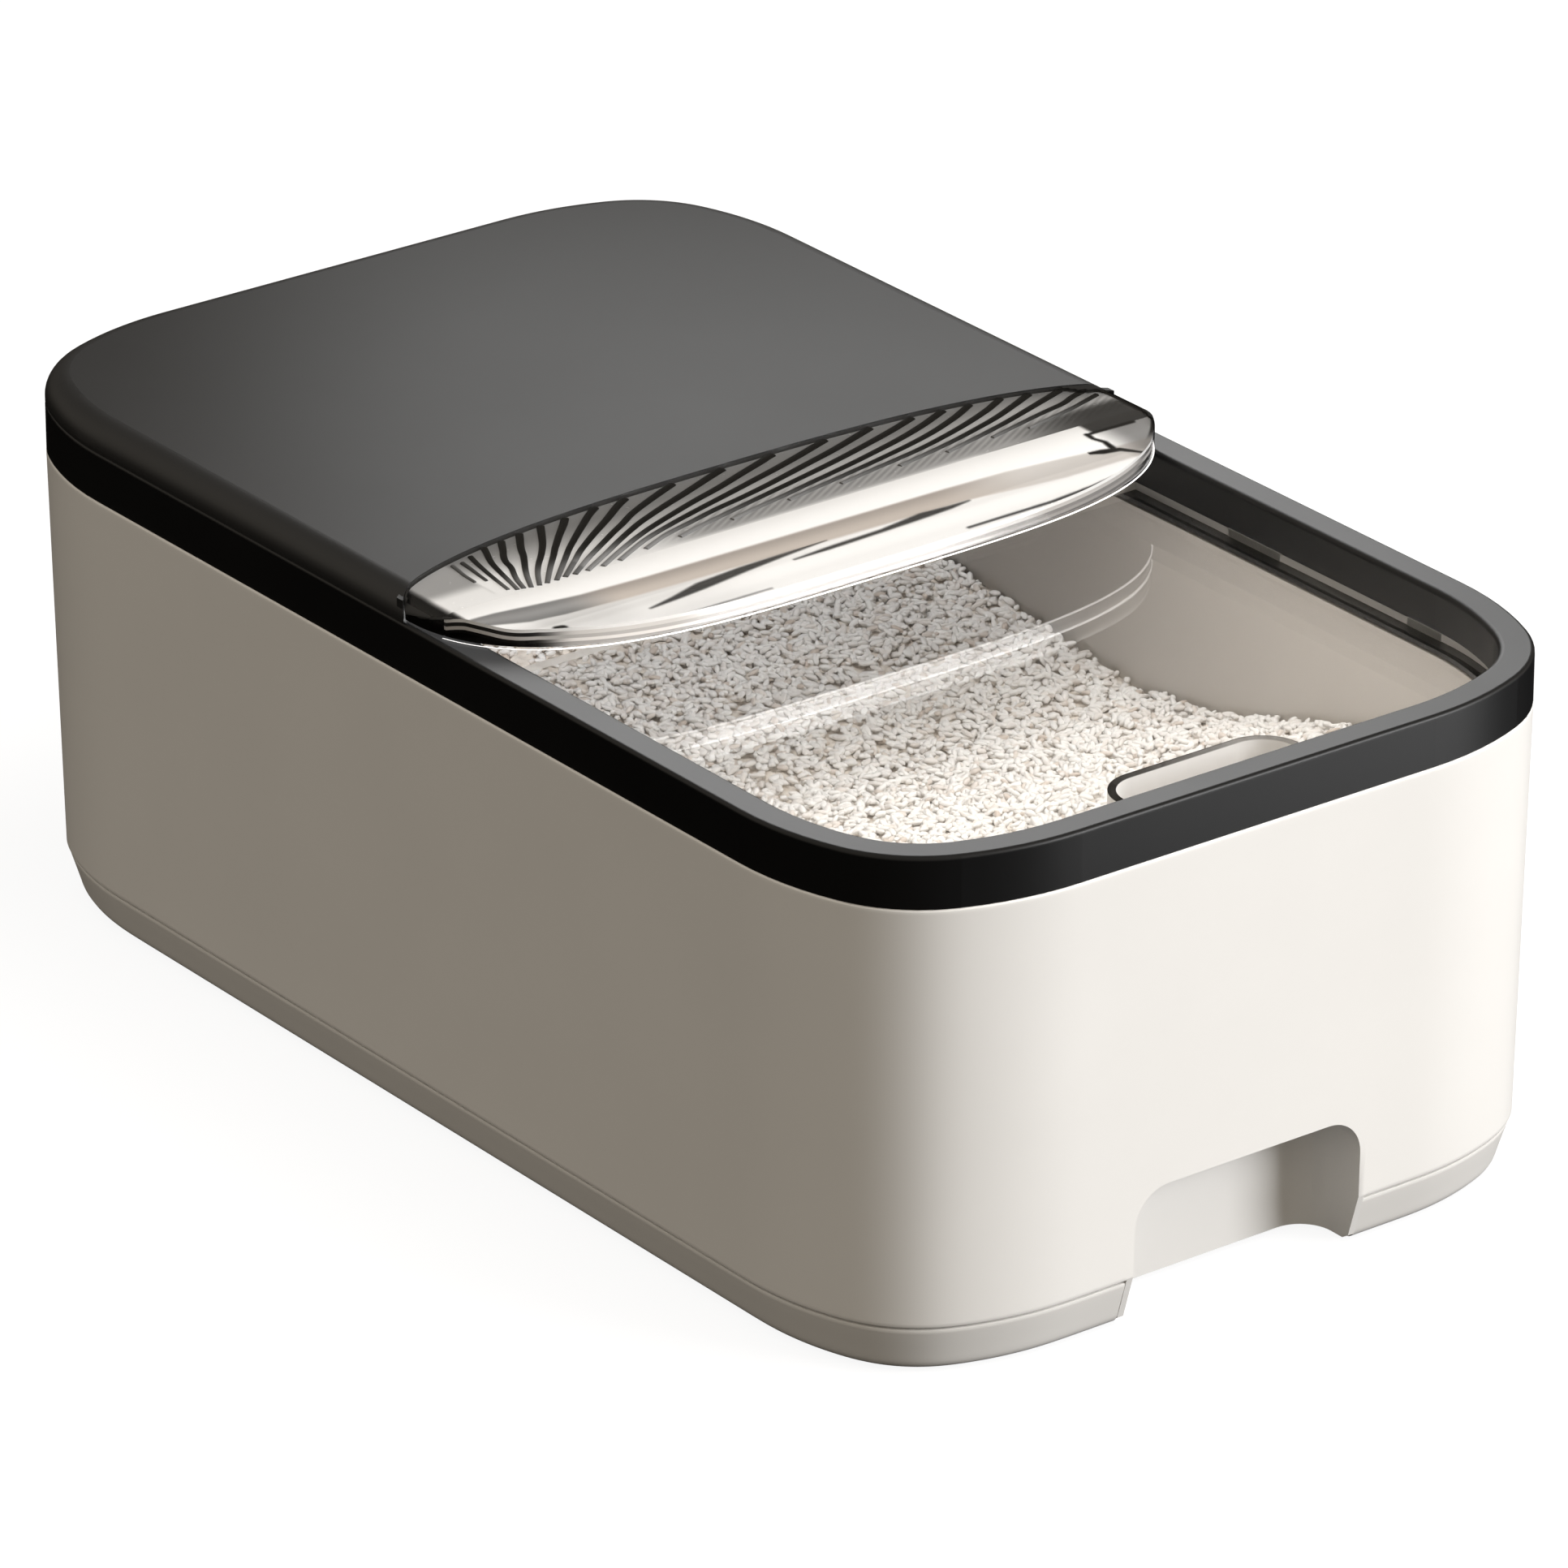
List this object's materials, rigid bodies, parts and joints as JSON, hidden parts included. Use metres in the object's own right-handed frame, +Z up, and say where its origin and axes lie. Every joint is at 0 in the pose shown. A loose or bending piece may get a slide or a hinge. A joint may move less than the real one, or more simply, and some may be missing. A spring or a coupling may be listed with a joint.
{
  "type": "rice storage bin",
  "caption": "Low rounded kitchen grain bin: warm white body with a hand recess, black cover with a rear hood, glossy visor and a clear sliding front lid.",
  "frame": {"origin": "on the floor plane under the middle of the bin, where the rubber feet rest", "axes": "+Z up, +Y from the clear front lid towards the rear hood, +X to the right seen from the front"},
  "size_m": [0.24, 0.4152, 0.1565],
  "materials": {
    "cream_body": "fine satin moulding, warm white",
    "cream_base": "fine satin moulding, warm white",
    "bin_plastic": "smooth moulding, warm grey white",
    "black_satin": "satin black moulding",
    "clear_acrylic": "polished clear moulding",
    "bright_plate": "bright plated plastic",
    "grip_silver": "metallic silver moulding",
    "grip_black": "gloss black ribs",
    "seal_silicone": "soft silicone",
    "foot_rubber": "non-slip rubber",
    "screw_steel": "zinc plated steel",
    "sachet_fabric": "non-woven sachet",
    "glider_white": "low-friction plastic",
    "rice_grain": "short polished rice grains"
  },
  "bodies": {
    "bin": {"outer_shell": "cream_body", "base_plinth": "cream_base", "rubber_feet": "foot_rubber", "base_screws": "screw_steel", "inner_bin": "bin_plastic", "rice_fill": "rice_grain", "cover_seal": "seal_silicone"},
    "cover": {"top_frame": "black_satin", "hood": "black_satin", "cover_screws": "screw_steel", "slide_track": "black_satin", "visor_lens": "clear_acrylic", "visor_bar": "bright_plate", "grip_plate": "grip_silver", "grip_ribs": "grip_black", "visor_screws": "screw_steel", "lid_wiper": "seal_silicone", "absorber_box": "black_satin", "absorber_screws": "screw_steel", "absorber_pack": "sachet_fabric"},
    "slide_lid": {"lid_panel": "clear_acrylic", "lid_gliders": "glider_white", "lid_bumper": "seal_silicone"},
    "absorber_flap": {"absorber_door": "black_satin", "door_pin": "screw_steel"}
  },
  "joints": [
    {"name": "cover_lift", "type": "slide", "parent": "bin", "child": "cover", "axis": [0, 0, 1], "range_m": [0, 0.12]},
    {"name": "lid_slide", "type": "slide", "parent": "cover", "child": "slide_lid", "axis": [0, 1, 0], "range_m": [0, 0.115]},
    {"name": "absorber_flap_hinge", "type": "hinge", "parent": "cover", "child": "absorber_flap", "pos_m": [0, 0.185, 0.1372], "axis": [1, 0, 0], "range_deg": [0, 85]}
  ]
}
